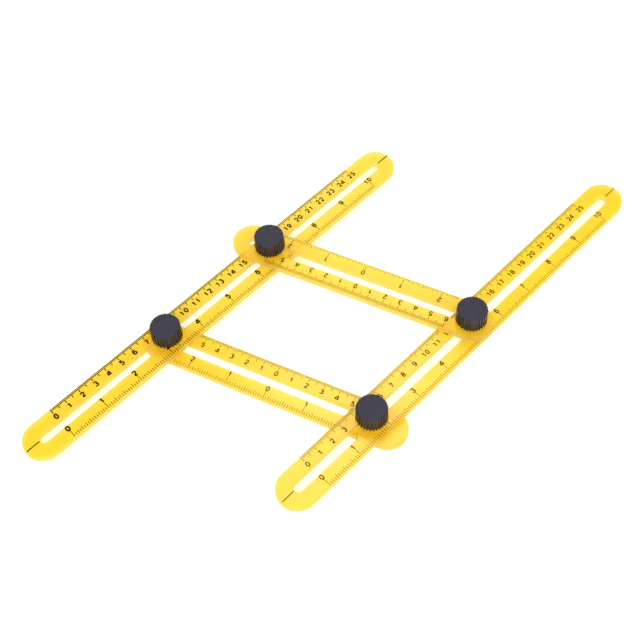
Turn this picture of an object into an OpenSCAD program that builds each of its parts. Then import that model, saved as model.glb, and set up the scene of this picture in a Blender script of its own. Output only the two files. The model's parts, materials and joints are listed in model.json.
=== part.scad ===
// Multi-angle folding ruler
// Two long and two short slotted arms cross at four pivots. At each pivot a bolt stands with its
// square neck in the lower arm's slot, passes through the upper arm's slot and takes a washer and
// a knurled knob that clamps the two arms together. With the knobs loose the arms turn and slide.

/* [Arms] */
// Overall length of a long arm
long_len = 306; // [260:1:360]
// Overall length of a short arm
short_len = 174; // [140:1:220]
// Width of every arm
arm_w = 25; // [20:0.5:30]
// Thickness of every arm
arm_t = 4.8; // [3:0.1:6]
// Wall between the end of a slot and the end of its arm
end_wall = 10; // [6:0.5:14]
// Rounding along the outer edges of the arms
edge_r = 0.6; // [0.2:0.1:1.2]
// Chamfer along the edges of the slots
slot_chamfer = 0.3; // [0.1:0.1:0.8]

/* [Bolts and washers] */
// Diameter of a bolt's shank
bolt_d = 6; // [4:0.5:8]
// Diameter of a bolt's head
head_d = 12.5; // [10.5:0.5:18]
// Thickness of a bolt's head
head_h = 1.6; // [1:0.1:3]
// Rounding under the rim of a bolt's head
head_r = 0.7; // [0.3:0.1:0.9]
// Height by which the square neck stays below the lower arm's top face
neck_drop = 0.5; // [0.2:0.1:1]
// Chamfer on the tip of a bolt
tip_chamfer = 0.8; // [0.4:0.1:1.2]
// Outer diameter of a washer
washer_d = 14; // [12:0.5:18]
// Thickness of a washer
washer_t = 0.8; // [0.5:0.1:2]

/* [Knobs] */
// Diameter of a knob over its ridges, at the foot
knob_d = 19.2; // [17:0.1:26]
// Height of a knob
knob_h = 10.5; // [7:0.1:16]
// Narrowing of a knob towards its top, on each side
knob_draft = 0.4; // [0.1:0.1:0.5]
// Number of grip ridges round a knob
ridge_count = 30; // [20:1:36]
// Width of a grip ridge
ridge_w = 1; // [0.8:0.05:1.2]
// Depth of the grooves between the ridges, at the foot
ridge_depth = 0.9; // [0.7:0.05:1.1]
// Chamfer round the top of a knob
knob_chamfer = 0.3; // [0.1:0.1:0.6]
// Chamfer round the underside of a knob
foot_chamfer = 0.2; // [0.1:0.1:0.6]
// Wall of the threaded insert round the bolt
insert_wall = 1.6; // [1:0.1:2.5]
// Plastic left above the insert
knob_roof = 2; // [1.2:0.1:4]
// Depth of the groove that locks the insert in the knob
lock_depth = 0.5; // [0.2:0.1:0.7]
// Height of that groove
lock_h = 2; // [1:0.1:3]
// Room between the tip of the bolt and the roof of the knob
tip_room = 0.6; // [0.3:0.1:1.5]

/* [Fits] */
// Gap between a bolt's shank and each side of a slot
slot_clear = 0.25; // [0.15:0.05:0.5]
// Gap between a bolt's square neck and each side of a slot
neck_clear = 0.1; // [0.05:0.01:0.12]
// Gap round a bolt in its insert
thread_clear = 0.05; // [0.02:0.01:0.1]
// Gap round a bolt in its washer
washer_clear = 0.1; // [0.05:0.01:0.3]
// Gap round an insert in its knob
insert_clear = 0.02; // [0.01:0.01:0.05]
// Gap between flat faces that are clamped or slide on one another
face_clear = 0.05; // [0.02:0.01:0.1]

/* [Pose] */
// Angle by which the short arms are swung away from square to the long arms
cross_angle = 18.8; // [-30:0.1:35]
// Distance between the two pivots along a long arm
pivot_pitch = 87.7; // [75:0.1:140]
// Distance of the front pivot ahead of the middle of the left long arm
left_front_at = 45.1; // [20:0.1:90]
// Distance of the front pivot ahead of the middle of the right long arm
right_front_at = 79.9; // [20:0.1:100]
// Free slot past the left bolt in the front short arm
front_left_gap = 0.6; // [0.3:0.1:20]
// Free slot past the right bolt in the front short arm
front_right_gap = 6.5; // [0.3:0.1:20]
// Free slot past the right bolt in the rear short arm
rear_right_gap = 0.3; // [0.3:0.1:4]

/* [Hidden] */
$fn = 96;

// Overlap by which a cutter runs past the faces that it cuts
cut = 1;

// Slots, and how near their round ends a shank or a square neck can come
slot_w = bolt_d + 2 * slot_clear;
neck_w = slot_w - 2 * neck_clear;
neck_reach = sqrt(pow(slot_w / 2, 2) - pow(neck_w / 2, 2)) - neck_w / 2;
shank_reach = slot_clear;
short_run = short_len - 2 * end_wall - slot_w;

// Layers, from the table up: front short arm, long arms, rear short arm
front_z = head_h + face_clear;
long_z = front_z + arm_t + face_clear;
rear_z = long_z + arm_t + face_clear;

// Bolt, measured from the underside of the lower arm less the face gap
insert_len = knob_h - knob_roof;
insert_r = bolt_d / 2 + thread_clear + insert_wall;
neck_h = face_clear + arm_t - neck_drop;
washer_at = 2 * arm_t + 3 * face_clear;
knob_at = washer_at + washer_t + face_clear;
bolt_len = knob_at + insert_len - tip_room;

// Places of the four pivots in plan, with the left front one at the origin
along = [cos(cross_angle), sin(cross_angle)];
front_left_at = short_run / 2 + neck_reach - front_left_gap;
front_right_at = short_run / 2 + neck_reach - front_right_gap;
pivot_span = front_left_at + front_right_at;
rear_right_at = short_run / 2 + shank_reach - rear_right_gap;
left_front = [0, 0];
left_rear = [0, pivot_pitch];
right_front = pivot_span * along;
right_rear = left_rear + right_front;

// Middles of the four arms in plan
left_mid = left_front + [0, left_front_at];
right_mid = right_front + [0, right_front_at];
front_mid = left_front + front_left_at * along;
rear_mid = right_rear - rear_right_at * along;

// The frame's origin lies on the table, in the middle of the ruler's outline
function half_box(len, angle) = [abs(cos(angle)), abs(sin(angle))] * (len - arm_w) / 2
                                + [arm_w, arm_w] / 2;
long_half = half_box(long_len, 90);
short_half = half_box(short_len, cross_angle);
lows = [left_mid - long_half, right_mid - long_half, front_mid - short_half, rear_mid - short_half];
highs = [left_mid + long_half, right_mid + long_half, front_mid + short_half, rear_mid + short_half];
function middle(i) = (min([for (p = lows) p[i]]) + max([for (p = highs) p[i]])) / 2;
origin = [middle(0), middle(1)];

// Each pivot: name, place in plan, height of its lower arm, direction of that arm
PIVOTS = [["left_front", left_front, front_z, cross_angle],
          ["left_rear", left_rear, long_z, 90],
          ["right_rear", right_rear, long_z, 90],
          ["right_front", right_front, front_z, cross_angle]];

// Moves a shape from its own origin to a place in the ruler
module placed(plan, z, angle = 0) {
    translate([plan[0] - origin[0], plan[1] - origin[1], z]) rotate(angle) children();
}

// Moves a clamp piece to a pivot, where it stands on the underside of the lower arm
module at_pivot(p) {
    placed(p[1], p[2] - face_clear, p[3]) children();
}

// Section through an arm's full width, with rounded edges
module arm_section() {
    translate([-arm_w / 2, edge_r]) square([arm_w, arm_t - 2 * edge_r]);
    translate([-arm_w / 2 + edge_r, 0]) square([arm_w - 2 * edge_r, arm_t]);
    for (x = [-1, 1], y = [edge_r, arm_t - edge_r]) {
        translate([x * (arm_w / 2 - edge_r), y]) circle(edge_r);
    }
}

// Half of that section, turned about the arm's end to round it off
module arm_end() {
    rotate(-90) rotate_extrude(angle = 180) intersection() {
        arm_section();
        square([arm_w, arm_t]);
    }
}

// Half of a slot's section, opening out to a chamfer at both faces, as a cutter
module slot_section() {
    mouth = slot_w / 2 + slot_chamfer + cut;
    polygon([[0, -cut],
             [mouth, -cut],
             [slot_w / 2, slot_chamfer],
             [slot_w / 2, arm_t - slot_chamfer],
             [mouth, arm_t + cut],
             [0, arm_t + cut]]);
}

// Round-ended slot along an arm, as a cutter
module slot_cutter(len) {
    run = len - 2 * end_wall - slot_w;
    translate([-run / 2, 0, 0]) rotate([90, 0, 90]) linear_extrude(run) {
        slot_section();
        mirror([1, 0]) slot_section();
    }
    for (x = [-1, 1]) {
        translate([x * run / 2, 0, 0]) rotate_extrude() slot_section();
    }
}

// Slotted arm with round ends, lying along X with its underside at zero
module arm(len) {
    straight = len - arm_w;
    color([0.98, 0.84, 0.12]) difference() {
        union() {
            translate([-straight / 2, 0, 0]) rotate([90, 0, 90])
                linear_extrude(straight) arm_section();
            translate([straight / 2, 0, 0]) arm_end();
            translate([-straight / 2, 0, 0]) rotate(180) arm_end();
        }
        slot_cutter(len);
    }
}

// Bolt with a low round head, a square neck and a plain shank
module bolt() {
    color([0.75, 0.76, 0.78]) union() {
        translate([0, 0, -head_h]) rotate_extrude() {
            square([head_d / 2 - head_r, head_h]);
            translate([0, head_r]) square([head_d / 2, head_h - head_r]);
            intersection() {
                translate([head_d / 2 - head_r, head_r]) circle(head_r);
                square([head_d / 2, head_h]);
            }
        }
        translate([-neck_w / 2, -neck_w / 2, 0]) cube([neck_w, neck_w, neck_h]);
        rotate_extrude() polygon([[0, 0],
                                  [bolt_d / 2, 0],
                                  [bolt_d / 2, bolt_len - tip_chamfer],
                                  [bolt_d / 2 - tip_chamfer, bolt_len],
                                  [0, bolt_len]]);
    }
}

// Flat washer under a knob
module washer() {
    color([0.78, 0.78, 0.76]) translate([0, 0, washer_at]) difference() {
        cylinder(d = washer_d, h = washer_t);
        translate([0, 0, -cut]) cylinder(d = bolt_d + 2 * washer_clear, h = washer_t + 2 * cut);
    }
}

// Outline of a knob in plan: a core with straight ridges set about it, round at their crests
module knob_plan() {
    ridge_r = ridge_w / 2;
    crest = knob_d / 2 - ridge_r;
    circle(d = knob_d - 2 * ridge_depth);
    for (i = [0 : ridge_count - 1]) {
        rotate(i * 360 / ridge_count) {
            translate([crest - ridge_depth, -ridge_r]) square([ridge_depth, ridge_w]);
            translate([crest, 0]) circle(ridge_r);
        }
    }
}

// Outer surface of the insert, with its locking groove, grown by a gap
module insert_profile(gap) {
    low = (insert_len - lock_h) / 2;
    square([insert_r + gap, low + gap]);
    square([insert_r - lock_depth + gap, insert_len]);
    translate([0, low + lock_h - gap]) square([insert_r + gap, low + gap]);
}

// Knurled knob, moulded round its insert
module knob() {
    r = knob_d / 2;
    top_r = r - knob_draft;
    color([0.17, 0.18, 0.22]) translate([0, 0, knob_at]) difference() {
        intersection() {
            linear_extrude(knob_h) knob_plan();
            rotate_extrude() polygon([[0, 0],
                                      [r - foot_chamfer, 0],
                                      [r, foot_chamfer],
                                      [top_r, knob_h - knob_chamfer],
                                      [top_r - knob_chamfer, knob_h],
                                      [0, knob_h]]);
        }
        rotate_extrude() insert_profile(insert_clear);
    }
}

// Threaded insert in a knob, its thread drawn as a plain bore
module knob_insert() {
    color([0.80, 0.64, 0.28]) translate([0, 0, knob_at]) difference() {
        rotate_extrude() insert_profile(0);
        translate([0, 0, -cut]) cylinder(r = bolt_d / 2 + thread_clear, h = insert_len + 2 * cut);
    }
}

placed(left_mid, long_z, 90) arm(long_len);  // left_long_arm
placed(right_mid, long_z, 90) arm(long_len);  // right_long_arm
placed(front_mid, front_z, cross_angle) arm(short_len);  // front_short_arm
placed(rear_mid, rear_z, cross_angle) arm(short_len);  // rear_short_arm
for (p = PIVOTS) {
    at_pivot(p) bolt();
    at_pivot(p) washer();
    at_pivot(p) knob();
    at_pivot(p) knob_insert();
}
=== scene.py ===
# Multi-angle folding ruler: surface finish, printed scales, floor, light and camera.
import json
import math
from collections import namedtuple

import bmesh
import bpy
from mathutils import Matrix, Vector


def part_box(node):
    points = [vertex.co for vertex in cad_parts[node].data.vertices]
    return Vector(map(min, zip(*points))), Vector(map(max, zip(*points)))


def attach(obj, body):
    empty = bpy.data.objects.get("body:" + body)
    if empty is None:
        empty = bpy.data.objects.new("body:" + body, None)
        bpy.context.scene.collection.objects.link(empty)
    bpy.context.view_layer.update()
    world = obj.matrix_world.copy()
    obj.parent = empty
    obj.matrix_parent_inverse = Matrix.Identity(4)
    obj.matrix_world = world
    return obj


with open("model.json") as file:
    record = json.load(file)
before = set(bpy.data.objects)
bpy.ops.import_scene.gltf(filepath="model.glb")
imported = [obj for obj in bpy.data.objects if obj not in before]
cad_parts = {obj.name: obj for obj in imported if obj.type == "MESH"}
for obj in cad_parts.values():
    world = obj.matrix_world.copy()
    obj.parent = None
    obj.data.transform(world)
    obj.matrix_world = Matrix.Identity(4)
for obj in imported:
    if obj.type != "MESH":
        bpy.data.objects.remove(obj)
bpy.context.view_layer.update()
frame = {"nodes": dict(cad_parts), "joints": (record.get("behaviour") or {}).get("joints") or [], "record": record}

MM = 0.001
INCH = 25.4

Arm = namedtuple("Arm", "name middle along across top half_len")
Scale = namedtuple("Scale", "zero first last")
Print = namedtuple("Print", "stroke numeral_scale cm_tick_w inch_tick_w end_line_w")
Softbox = namedtuple("Softbox", "name place size power")

# Sizes of an arm, in millimetres
ARM_HALF_W = 12.5
EDGE_R = 0.6
END_WALL = 10.0
LONG_LEN = 306.0
SHORT_LEN = 174.0

# Ink, in millimetres: how far it stands out of an arm and reaches into it, and how much
# lower each further stroke of a digit ends, so that crossing strokes share no face
INK_T = 0.02
INK_SINK = 0.02
INK_STEP = 0.002

# Corners of ink this close are joined, in metres
JOIN_DISTANCE = 1e-7

# Scales: where zero lies along an arm, in millimetres from its middle, and the first and
# last tick, counted in millimetres or in sixteenths of an inch
LONG_CM = Scale(-126.31, 0, 250)
LONG_INCH = Scale(-126.77, 0, 160)
SHORT_CM = Scale(0.0, -60, 60)
SHORT_INCH = Scale(0.0, -38, 38)
MM_PER_CM = 10
MM_PER_LONG_TICK = 5
INCH_PARTS = 16

# Places across an arm, in millimetres from its centreline, and the heights of numerals.
# An inch tick's inner end is listed under the most sixteenths that divide its count.
CM_OUTER = 12.3
CM_LONG_INNER = 8.6
CM_SHORT_INNER = 10.3
CM_NUMERAL_AT = 5.94
CM_NUMERAL_H = 3.4
INCH_OUTER = -12.4
INCH_INNER = {16: -7.5, 8: -9.5, 4: -9.7, 2: -10.1, 1: -10.5}
INCH_NUMERAL_AT = -5.45
INCH_NUMERAL_H = 3.5

# Steps in which a tick follows the rounded edge of an arm
EDGE_STEPS = 5

# Lines from the ends of a long arm's slot to its tips, in millimetres
END_LINE_PAST_SLOT = 0.3
END_LINE_SHORT_OF_TIP = 0.5

# Digits: their width and the step to the next one as shares of their height, how finely
# their curves are divided, and the smallest cosine taken when mitring a corner
DIGIT_W = 0.68
DIGIT_STEP = 0.82
ARC_STEPS = 14
LOOP_POINTS = 24
MITRE_LIMIT = 0.5

# How heavily an arm is printed: a numeral's strokes as a share of its height, its growth,
# and the widths of ticks and end lines in millimetres. The left arm's print gets lighter
# from its zero end to its far end.
HEAVY = Print(0.25, 1.26, 0.64, 0.46, 0.75)
MEDIUM = Print(0.2, 1.08, 0.4, 0.36, 0.75)
LIGHT = Print(0.18, 1.03, 0.31, 0.32, 0.55)

# Colours of the arms: faces in two tints; sides painted paler than the faces as a painted glow, palest at the foot
# as painted light from the floor and less pale at the top edge;
# and the light that sides and faces scatter through (milk) or let straight through (film), also paler on the sides
# as part of that painted glow
ARM_FACE = (0.98, 0.67, 0.004), (1.0, 0.71, 0.01)
# Side colours are a painted glow, paler at the foot as painted light from the floor
ARM_SIDE_PAINTED_GLOW = (0.92, 0.85, 0.46), (0.95, 0.81, 0.2)
ARM_MILK = (0.95, 0.88, 0.5), (1.0, 0.85, 0.22)
ARM_FILM = (0.97, 0.95, 0.75), (1.0, 0.885, 0.3)
ARM_MILK_SHARE = 0.5
ARM_SIDE_FILM_SHARE = 0.55
ARM_FACE_FILM_SHARE = 0.3

# Colours of the knobs, the metal pieces and the ink, each in two tints
# The knob's side is painted lighter and warmer than its top as a painted reflection of the yellow arms; the top's
# colour is partly painted sheen
KNOB_TOP_WITH_PAINTED_SHEEN = (0.023, 0.023, 0.036), (0.029, 0.028, 0.044)
KNOB_SIDE_PAINTED_REFLECTION = (0.04, 0.03, 0.03), (0.052, 0.04, 0.04)
BOLT_STEEL = (0.62, 0.63, 0.65), (0.76, 0.77, 0.79)
WASHER_STEEL = (0.62, 0.62, 0.62), (0.75, 0.75, 0.74)
INSERT_BRASS = (0.72, 0.55, 0.22), (0.82, 0.66, 0.32)
INK_COLOURS = (0.024, 0.01, 0.001), (0.038, 0.017, 0.002)

# The upright part of a face's normal up to which it looks like a side, and from which it
# looks flat
FLAT_FROM = 0.3
FLAT_TO = 0.9

# Sockets of a Mix node set to blend colours
MIX_FACTOR, MIX_FIRST, MIX_SECOND, MIX_RESULT = 0, 6, 7, 2

# Floor and light, in metres and watts. The floor's glow shows only in what is seen of it,
# and grows with the distance from the object, where the lamps light it less. The world
# is seen as white, but gives less light than that.
FLOOR_HALF_SIZE = 3.0
FLOOR_WHITE = 0.8
FLOOR_GLOW = 0.4
FAR_FLOOR_GLOW = 0.8
FLOOR_NEAR = 0.5
FLOOR_FAR = 1.6
WORLD_LIGHT = 0.25
WORLD_SEEN = 1.0
SOFTBOXES = [
    Softbox("key", (0.86, -0.79, 1.87), 1.2, 39),
    Softbox("top", (-0.3, 0.32, 1.0), 0.33, 2.6),
    Softbox("back", (-0.64, 0.6, 1.0), 0.42, 1.8),
]

# Camera fitted to the printed labels, in degrees and millimetres
CAMERA_AZIMUTH = 47.5219
CAMERA_ELEVATION = 56.324
CAMERA_ROLL = -3.8789
CAMERA_DISTANCE = 689.05
CAMERA_TARGET = (-8.6938, -7.763, 0.0)
CAMERA_LENS = 62.338
CAMERA_SENSOR = 36


# Materials

def new_material(name):
    mat = bpy.data.materials.new(name)
    mat.use_nodes = True
    return mat, mat.node_tree, mat.node_tree.nodes["Principled BSDF"]


def node(tree, kind, **values):
    """A shader node with its inputs or properties set by name."""
    made = tree.nodes.new(kind)
    for key, value in values.items():
        label = key.replace("_", " ").title()
        if label in made.inputs:
            made.inputs[label].default_value = value
        else:
            setattr(made, key, value)
    return made


def noise(tree, scale, detail=3.0):
    """Noise in the object's own coordinates, with a scale in waves per metre."""
    coords = node(tree, "ShaderNodeTexCoord")
    made = node(tree, "ShaderNodeTexNoise", scale=scale, detail=detail, roughness=0.55)
    tree.links.new(coords.outputs["Object"], made.inputs["Vector"])
    return made.outputs["Fac"]


def remap(tree, value, low=0.0, high=1.0, start=0.0, end=1.0):
    """A value taken from start and end to low and high, and held there beyond them."""
    made = node(tree, "ShaderNodeMapRange")
    made.inputs["From Min"].default_value = start
    made.inputs["From Max"].default_value = end
    made.inputs["To Min"].default_value = low
    made.inputs["To Max"].default_value = high
    tree.links.new(value, made.inputs["Value"])
    return made.outputs["Result"]


def spread(tree, value, low=0.0, high=1.0):
    """Noise, which lies mostly in its middle, spread from low to high."""
    return remap(tree, value, low, high, start=0.3, end=0.7)


def mix_colours(tree, factor, first, second):
    """Two colours mixed by a factor, each a plain colour or a node's output."""
    made = node(tree, "ShaderNodeMix", data_type="RGBA")
    tree.links.new(factor, made.inputs[MIX_FACTOR])
    for place, colour in ((MIX_FIRST, first), (MIX_SECOND, second)):
        if isinstance(colour, tuple):
            made.inputs[place].default_value = (*colour, 1)
        else:
            tree.links.new(colour, made.inputs[place])
    return made.outputs[MIX_RESULT]


def mix_shaders(tree, first, second):
    made = node(tree, "ShaderNodeMixShader")
    tree.links.new(first.outputs[0], made.inputs[1])
    tree.links.new(second.outputs[0], made.inputs[2])
    return made


def bump(tree, height, strength, distance):
    made = node(tree, "ShaderNodeBump")
    made.inputs["Strength"].default_value = strength
    made.inputs["Distance"].default_value = distance
    tree.links.new(height, made.inputs["Height"])
    return made.outputs["Normal"]


def flatness(tree):
    """One on faces that lie flat, falling to zero on upright ones."""
    coords = node(tree, "ShaderNodeTexCoord")
    split = node(tree, "ShaderNodeSeparateXYZ")
    size = node(tree, "ShaderNodeMath", operation="ABSOLUTE")
    tree.links.new(coords.outputs["Normal"], split.inputs[0])
    tree.links.new(split.outputs["Z"], size.inputs[0])
    return remap(tree, size.outputs[0], start=FLAT_FROM, end=FLAT_TO)


def height_share(tree):
    """Zero at the bottom of an object's box, rising to one at its top."""
    coords = node(tree, "ShaderNodeTexCoord")
    split = node(tree, "ShaderNodeSeparateXYZ")
    tree.links.new(coords.outputs["Generated"], split.inputs[0])
    return split.outputs["Z"]


def arm_plastic():
    """Tinted plastic that lets light through. Its sides are clearer, and painted paler than its faces as a painted
    glow, palest at the foot as painted light from the floor.
    """
    mat, tree, shader = new_material("arm_plastic")
    flat = flatness(tree)
    tint = spread(tree, noise(tree, scale=45))
    face = mix_colours(tree, tint, *ARM_FACE)
    # Painted glow on the sides: paler than the faces, and palest at the foot as painted light from the floor
    side = mix_colours(tree, height_share(tree), *ARM_SIDE_PAINTED_GLOW)
    tree.links.new(mix_colours(tree, flat, side, face), shader.inputs["Base Color"])
    gloss = spread(tree, noise(tree, scale=900), low=0.16, high=0.24)
    tree.links.new(gloss, shader.inputs["Roughness"])
    waves = bump(tree, noise(tree, scale=40), strength=0.15, distance=0.0003)
    grain = bump(tree, noise(tree, scale=2600), strength=0.05, distance=0.00002)
    tree.links.new(waves, grain.node.inputs["Normal"])
    tree.links.new(grain, shader.inputs["Normal"])
    shader.inputs["IOR"].default_value = 1.5
    milk = node(tree, "ShaderNodeBsdfTranslucent")
    tree.links.new(mix_colours(tree, flat, *ARM_MILK), milk.inputs["Color"])
    body = mix_shaders(tree, shader, milk)
    body.inputs[0].default_value = ARM_MILK_SHARE
    film = node(tree, "ShaderNodeBsdfTransparent")
    tree.links.new(mix_colours(tree, flat, *ARM_FILM), film.inputs["Color"])
    both = mix_shaders(tree, body, film)
    share = remap(tree, flat, ARM_SIDE_FILM_SHARE, ARM_FACE_FILM_SHARE)
    tree.links.new(share, both.inputs[0])
    tree.links.new(both.outputs[0], tree.nodes["Material Output"].inputs["Surface"])
    return mat


def knob_plastic():
    """Dark plastic, duller and bluer on its flat top than on its ridged side. The side's lighter, warmer colour is
    a painted reflection of the yellow arms, and part of the top's colour is painted sheen.
    """
    mat, tree, shader = new_material("knob_plastic")
    flat = flatness(tree)
    tint = spread(tree, noise(tree, scale=300))
    # Top partly painted sheen; side a painted reflection of the yellow arms
    top = mix_colours(tree, tint, *KNOB_TOP_WITH_PAINTED_SHEEN)
    side = mix_colours(tree, tint, *KNOB_SIDE_PAINTED_REFLECTION)
    tree.links.new(mix_colours(tree, flat, side, top), shader.inputs["Base Color"])
    worn = node(tree, "ShaderNodeMath", operation="ADD")
    tree.links.new(remap(tree, flat, low=0.12, high=0.45), worn.inputs[0])
    tree.links.new(spread(tree, noise(tree, scale=1500), high=0.15), worn.inputs[1])
    tree.links.new(worn.outputs[0], shader.inputs["Roughness"])
    grain = bump(tree, noise(tree, scale=4500, detail=4), strength=0.25, distance=0.00004)
    tree.links.new(grain, shader.inputs["Normal"])
    shader.inputs["Specular IOR Level"].default_value = 0.2
    return mat


def metal(name, colours, roughness):
    """Metal whose roughness varies a little about the one given."""
    mat, tree, shader = new_material(name)
    tint = spread(tree, noise(tree, scale=260))
    tree.links.new(mix_colours(tree, tint, *colours), shader.inputs["Base Color"])
    wear = 0.08
    worn = spread(tree, noise(tree, scale=1800, detail=5), roughness - wear, roughness + wear)
    tree.links.new(worn, shader.inputs["Roughness"])
    grain = bump(tree, noise(tree, scale=5000), strength=0.1, distance=0.00002)
    tree.links.new(grain, shader.inputs["Normal"])
    shader.inputs["Metallic"].default_value = 1.0
    return mat


def scale_ink():
    mat, tree, shader = new_material("scale_ink")
    density = spread(tree, noise(tree, scale=1400, detail=4))
    tree.links.new(mix_colours(tree, density, *INK_COLOURS), shader.inputs["Base Color"])
    dullness = spread(tree, noise(tree, scale=2500), low=0.5, high=0.7)
    tree.links.new(dullness, shader.inputs["Roughness"])
    shader.inputs["Specular IOR Level"].default_value = 0.0
    return mat


FINISH = {
    "arm_plastic": arm_plastic(),
    "knob_plastic": knob_plastic(),
    "bolt_steel": metal("bolt_steel", BOLT_STEEL, roughness=0.3),
    "washer_steel": metal("washer_steel", WASHER_STEEL, roughness=0.34),
    "insert_brass": metal("insert_brass", INSERT_BRASS, roughness=0.28),
}
INK = scale_ink()

for part in frame["record"]["subparts"]:
    mesh = frame["nodes"][part["node"]].data
    mesh.materials.clear()
    mesh.materials.append(FINISH[part["material_slot"]])


# Places on an arm, given along it (s) and across it (v) from its middle, in millimetres

def arm_frame(name, joint_name, way, length):
    """An arm's own axes: along its scale, and across it towards the centimetre edge."""
    axis = next(j["axis"] for j in frame["joints"] if j["name"] == joint_name)
    along = Vector(axis).normalized() * way
    across = Vector((0, 0, 1)).cross(along)
    low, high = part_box(name)
    middle = (low + high) / 2
    return Arm(name, middle, along, across, high.z, length / 2)


def surface_z(arm, v):
    """Height of an arm's top face at a distance from its centreline, in metres."""
    past = abs(v) - (ARM_HALF_W - EDGE_R)
    if past <= 0:
        return arm.top
    drop = EDGE_R - math.sqrt(EDGE_R ** 2 - past ** 2)
    return arm.top - drop * MM


def point(arm, s, v, lift):
    flat = arm.middle + (arm.along * s + arm.across * v) * MM
    return Vector((flat.x, flat.y, surface_z(arm, v) + lift * MM))


def stations(v0, v1):
    """Places across an arm from v0 to v1, close together where its edge is rounded."""
    low, high = min(v0, v1), max(v0, v1)
    bend = ARM_HALF_W - EDGE_R
    places = {low, high}
    for i in range(EDGE_STEPS):
        for side in (-1, 1):
            v = side * (bend + (max(abs(low), abs(high)) - bend) * i / EDGE_STEPS)
            if low < v < high:
                places.add(v)
    return sorted(places)


# Digits as strokes in a unit square, each a list of points and whether it closes on itself

def arc_points(x, y, rx, ry, start, stop, steps=ARC_STEPS):
    """Points on an ellipse between two angles in degrees."""
    turns = [math.radians(start + (stop - start) * i / steps) for i in range(steps + 1)]
    return [(x + rx * math.cos(a), y + ry * math.sin(a)) for a in turns]


def arc(*shape):
    return arc_points(*shape), False


def loop(x, y, rx, ry):
    return arc_points(x, y, rx, ry, 0, 360 - 360 / LOOP_POINTS, LOOP_POINTS - 1), True


def line(*points):
    return list(points), False


TWO_HOOK = arc_points(0.5, 0.71, 0.47, 0.29, 170, -35)
SIX = [loop(0.5, 0.31, 0.5, 0.31), arc(0.55, 0.5, 0.55, 0.5, 198, 45)]
DIGITS = {
    "0": [loop(0.5, 0.5, 0.5, 0.5)],
    "1": [line((0.62, 0), (0.62, 1)), line((0.62, 0.98), (0.45, 0.83), (0.2, 0.74))],
    "2": [line(*TWO_HOOK, (0.6, 0.36), (0.3, 0.17), (0.04, 0)), line((0, 0), (1, 0))],
    "3": [arc(0.47, 0.76, 0.42, 0.24, 160, -90), arc(0.47, 0.26, 0.5, 0.26, 90, -160)],
    "4": [line((0.8, 0), (0.8, 1)), line((0.74, 1), (-0.24, 0.25)),
          line((-0.24, 0.21), (1.12, 0.21))],
    "5": [line((0.93, 1), (0.22, 1), (0.1, 0.5)), arc(0.48, 0.32, 0.51, 0.32, 140, -160)],
    "6": SIX,
    "7": [line((0, 1), (1, 1)), line((0.98, 0.98), (0.6, 0.5), (0.44, 0.2), (0.38, 0))],
    "8": [loop(0.5, 0.76, 0.42, 0.24), loop(0.5, 0.26, 0.5, 0.26)],
    "9": [([(1 - x, 1 - y) for x, y in points], closed) for points, closed in SIX],
}


def stroke_sides(points, closed, half):
    """Points to the left and right of a stroke's middle line."""
    sides = []
    last = len(points) - 1
    for i, (x, y) in enumerate(points):
        before = points[i - 1] if closed or i > 0 else (x, y)
        after = points[(i + 1) % (last + 1)] if closed or i < last else (x, y)
        into = Vector((x - before[0], y - before[1]))
        out = Vector((after[0] - x, after[1] - y))
        way = (into.normalized() + out.normalized()).normalized()
        lead = out if out.length else into
        reach = half / max(MITRE_LIMIT, way.dot(lead.normalized()))
        left = Vector((-way.y, way.x)) * reach
        sides.append((Vector((x, y)) + left, Vector((x, y)) - left))
    return sides


# Printed scales

def add_tube(mesh, rings, closed=False):
    """Faces along a row of four-cornered rings, which closes on itself or has end caps."""
    following = rings[1:] + rings[:1] if closed else rings[1:]
    for a, b in zip(rings, following):
        for i in range(4):
            j = (i + 1) % 4
            mesh.faces.new((a[i], a[j], b[j], b[i]))
    if not closed:
        mesh.faces.new(rings[0][::-1])
        mesh.faces.new(rings[-1])


def add_tick(mesh, arm, s, width, v0, v1):
    """A closed strip of ink across an arm, lying on its top face."""
    start, stop = s - width / 2, s + width / 2
    corners = [(start, -INK_SINK), (stop, -INK_SINK), (stop, INK_T), (start, INK_T)]
    add_tube(mesh, [[mesh.verts.new(point(arm, at, v, lift)) for at, lift in corners]
                    for v in stations(v0, v1)])


def add_end_line(mesh, arm, end, width):
    """A line on the centreline from the end of the slot to near the arm's tip."""
    start = arm.half_len - END_WALL + END_LINE_PAST_SLOT
    stop = arm.half_len - END_LINE_SHORT_OF_TIP
    half = width / 2
    corners = [(-half, -INK_SINK), (half, -INK_SINK), (half, INK_T), (-half, INK_T)]
    add_tube(mesh, [[mesh.verts.new(point(arm, end * s, v, lift)) for v, lift in corners]
                    for s in (start, stop)])


def add_stroke(mesh, arm, place, points, closed, half, lift):
    """A closed ribbon of ink along a stroke, with place giving its points on the arm."""
    rings = []
    for left, right in stroke_sides(points, closed, half):
        corners = [(left, -INK_SINK), (right, -INK_SINK), (right, lift), (left, lift)]
        rings.append([mesh.verts.new(point(arm, *place(p), z)) for p, z in corners])
    add_tube(mesh, rings, closed)


def add_numeral(mesh, arm, number, weight, s, v, height):
    """A number centred at a place on an arm, read with the centimetre edge upwards."""
    text = str(number)
    size = height * weight.numeral_scale
    half = weight.stroke / 2
    wide = DIGIT_W + DIGIT_STEP * (len(text) - 1)
    for k, digit in enumerate(text):
        def place(p):
            return s + size * (p[0] + k * DIGIT_STEP - wide / 2), v + size * (p[1] - 0.5)

        for n, (points, closed) in enumerate(DIGITS[digit]):
            inset = [(half + x * (DIGIT_W - 2 * half), half + y * (1 - 2 * half))
                     for x, y in points]
            add_stroke(mesh, arm, place, inset, closed, half, INK_T - INK_STEP * n)


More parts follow.
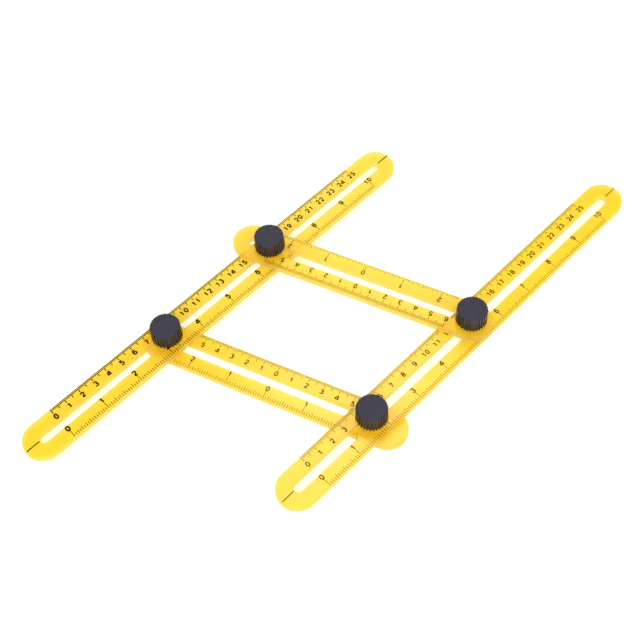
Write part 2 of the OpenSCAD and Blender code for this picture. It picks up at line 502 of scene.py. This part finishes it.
def ink_piece(name, arm, fill):
    """A printed piece on an arm, filled by a function and riding on that arm."""
    mesh = bmesh.new()
    fill(mesh)
    bmesh.ops.remove_doubles(mesh, verts=mesh.verts, dist=JOIN_DISTANCE)
    bmesh.ops.recalc_face_normals(mesh, faces=mesh.faces)
    data = bpy.data.meshes.new(name)
    mesh.to_mesh(data)
    mesh.free()
    data.materials.append(INK)
    obj = bpy.data.objects.new(name, data)
    bpy.context.scene.collection.objects.link(obj)
    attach(obj, arm.name)


def weight_at(arm, ends, s):
    """How heavily an arm is printed at a place along it, from the weights at its ends."""
    share = (s / arm.half_len + 1) / 2
    return Print(*[a + (b - a) * share for a, b in zip(*ends)])


def print_scales(arm, cm, inch, ends):
    def cm_ticks(mesh):
        for n in range(cm.first, cm.last + 1):
            at = cm.zero + n
            inner = CM_LONG_INNER if n % MM_PER_LONG_TICK == 0 else CM_SHORT_INNER
            add_tick(mesh, arm, at, weight_at(arm, ends, at).cm_tick_w, inner, CM_OUTER)

    def cm_numerals(mesh):
        for n in range(cm.first, cm.last + 1, MM_PER_CM):
            at = cm.zero + n
            weight = weight_at(arm, ends, at)
            add_numeral(mesh, arm, abs(n) // MM_PER_CM, weight, at, CM_NUMERAL_AT, CM_NUMERAL_H)

    def inch_ticks(mesh):
        for n in range(inch.first, inch.last + 1):
            at = inch.zero + n * INCH / INCH_PARTS
            inner = next(v for parts, v in INCH_INNER.items() if n % parts == 0)
            add_tick(mesh, arm, at, weight_at(arm, ends, at).inch_tick_w, INCH_OUTER, inner)

    def inch_numerals(mesh):
        for n in range(inch.first, inch.last + 1):
            if n % INCH_PARTS == 0:
                at = inch.zero + n * INCH / INCH_PARTS
                weight = weight_at(arm, ends, at)
                add_numeral(mesh, arm, abs(n) // INCH_PARTS, weight, at,
                            INCH_NUMERAL_AT, INCH_NUMERAL_H)

    ink_piece(arm.name + "_cm_ticks", arm, cm_ticks)
    ink_piece(arm.name + "_cm_numerals", arm, cm_numerals)
    ink_piece(arm.name + "_inch_ticks", arm, inch_ticks)
    ink_piece(arm.name + "_inch_numerals", arm, inch_numerals)


def print_end_lines(arm, ends):
    def end_lines(mesh):
        for end, weight in zip((-1, 1), ends):
            add_end_line(mesh, arm, end, weight.end_line_w)

    ink_piece(arm.name + "_end_lines", arm, end_lines)


def print_long_arm(name, ends):
    arm = arm_frame(name, "left_front_slide", 1, LONG_LEN)
    print_scales(arm, LONG_CM, LONG_INCH, ends)
    print_end_lines(arm, ends)


def print_short_arm(name, way):
    arm = arm_frame(name, "front_arm_slide", way, SHORT_LEN)
    print_scales(arm, SHORT_CM, SHORT_INCH, (LIGHT, LIGHT))


print_long_arm("left_long_arm", (HEAVY, MEDIUM))
print_long_arm("right_long_arm", (LIGHT, LIGHT))
print_short_arm("front_short_arm", 1)
print_short_arm("rear_short_arm", -1)


# Floor, light and camera

def seen_ray(tree):
    """One for rays that show the background: straight, mirrored or passed through."""
    path = node(tree, "ShaderNodeLightPath")
    total = path.outputs["Is Camera Ray"]
    for name in ("Is Glossy Ray", "Is Transmission Ray"):
        most = node(tree, "ShaderNodeMath", operation="MAXIMUM")
        tree.links.new(total, most.inputs[0])
        tree.links.new(path.outputs[name], most.inputs[1])
        total = most.outputs[0]
    return total


def floor_material():
    mat = bpy.data.materials.new("floor")
    mat.use_nodes = True
    tree = mat.node_tree
    tree.nodes.clear()
    out = node(tree, "ShaderNodeOutputMaterial")
    paper = node(tree, "ShaderNodeBsdfDiffuse")
    paper.inputs["Color"].default_value = (FLOOR_WHITE, FLOOR_WHITE, FLOOR_WHITE, 1)
    coords = node(tree, "ShaderNodeTexCoord")
    away = node(tree, "ShaderNodeVectorMath", operation="LENGTH")
    tree.links.new(coords.outputs["Object"], away.inputs[0])
    level = remap(tree, away.outputs["Value"], FLOOR_GLOW, FAR_FLOOR_GLOW,
                  start=FLOOR_NEAR, end=FLOOR_FAR)
    lift = node(tree, "ShaderNodeMath", operation="MULTIPLY")
    tree.links.new(seen_ray(tree), lift.inputs[0])
    tree.links.new(level, lift.inputs[1])
    glow = node(tree, "ShaderNodeEmission")
    tree.links.new(lift.outputs[0], glow.inputs["Strength"])
    total = node(tree, "ShaderNodeAddShader")
    tree.links.new(paper.outputs[0], total.inputs[0])
    tree.links.new(glow.outputs[0], total.inputs[1])
    tree.links.new(total.outputs[0], out.inputs["Surface"])
    return mat


def add_floor():
    size = FLOOR_HALF_SIZE
    mesh = bpy.data.meshes.new("floor")
    mesh.from_pydata([(-size, -size, 0), (size, -size, 0), (size, size, 0), (-size, size, 0)],
                     [], [(0, 1, 2, 3)])
    mesh.materials.append(floor_material())
    obj = bpy.data.objects.new("floor", mesh)
    bpy.context.scene.collection.objects.link(obj)


def add_world():
    world = bpy.data.worlds.new("studio")
    bpy.context.scene.world = world
    world.use_nodes = True
    tree = world.node_tree
    back = tree.nodes["Background"]
    tree.links.new(remap(tree, seen_ray(tree), WORLD_LIGHT, WORLD_SEEN), back.inputs["Strength"])
    back.inputs["Color"].default_value = (1, 1, 1, 1)


def add_softbox(box):
    """A square lamp that faces the object."""
    light = bpy.data.lights.new(box.name, "AREA")
    light.size = box.size
    light.energy = box.power
    obj = bpy.data.objects.new(box.name, light)
    obj.location = box.place
    obj.rotation_mode = "QUATERNION"
    obj.rotation_quaternion = (-Vector(box.place)).to_track_quat("-Z", "Y")
    bpy.context.scene.collection.objects.link(obj)


def add_camera():
    azimuth, elevation = math.radians(CAMERA_AZIMUTH), math.radians(CAMERA_ELEVATION)
    back = Vector((math.sin(azimuth) * math.cos(elevation),
                   -math.cos(azimuth) * math.cos(elevation), math.sin(elevation)))
    right = Vector((math.cos(azimuth), math.sin(azimuth), 0))
    up = back.cross(right)
    axes = Matrix((right, up, back)).transposed().to_4x4()
    camera = bpy.data.cameras.new("camera")
    camera.lens = CAMERA_LENS
    camera.sensor_width = CAMERA_SENSOR
    obj = bpy.data.objects.new("camera", camera)
    place = Vector(CAMERA_TARGET) + back * CAMERA_DISTANCE
    turn = Matrix.Rotation(math.radians(CAMERA_ROLL), 4, "Z")
    obj.matrix_world = Matrix.Translation(place * MM) @ axes @ turn
    bpy.context.scene.collection.objects.link(obj)
    bpy.context.scene.camera = obj


add_floor()
add_world()
for box in SOFTBOXES:
    add_softbox(box)
add_camera()

bpy.context.scene.view_settings.view_transform = "Standard"
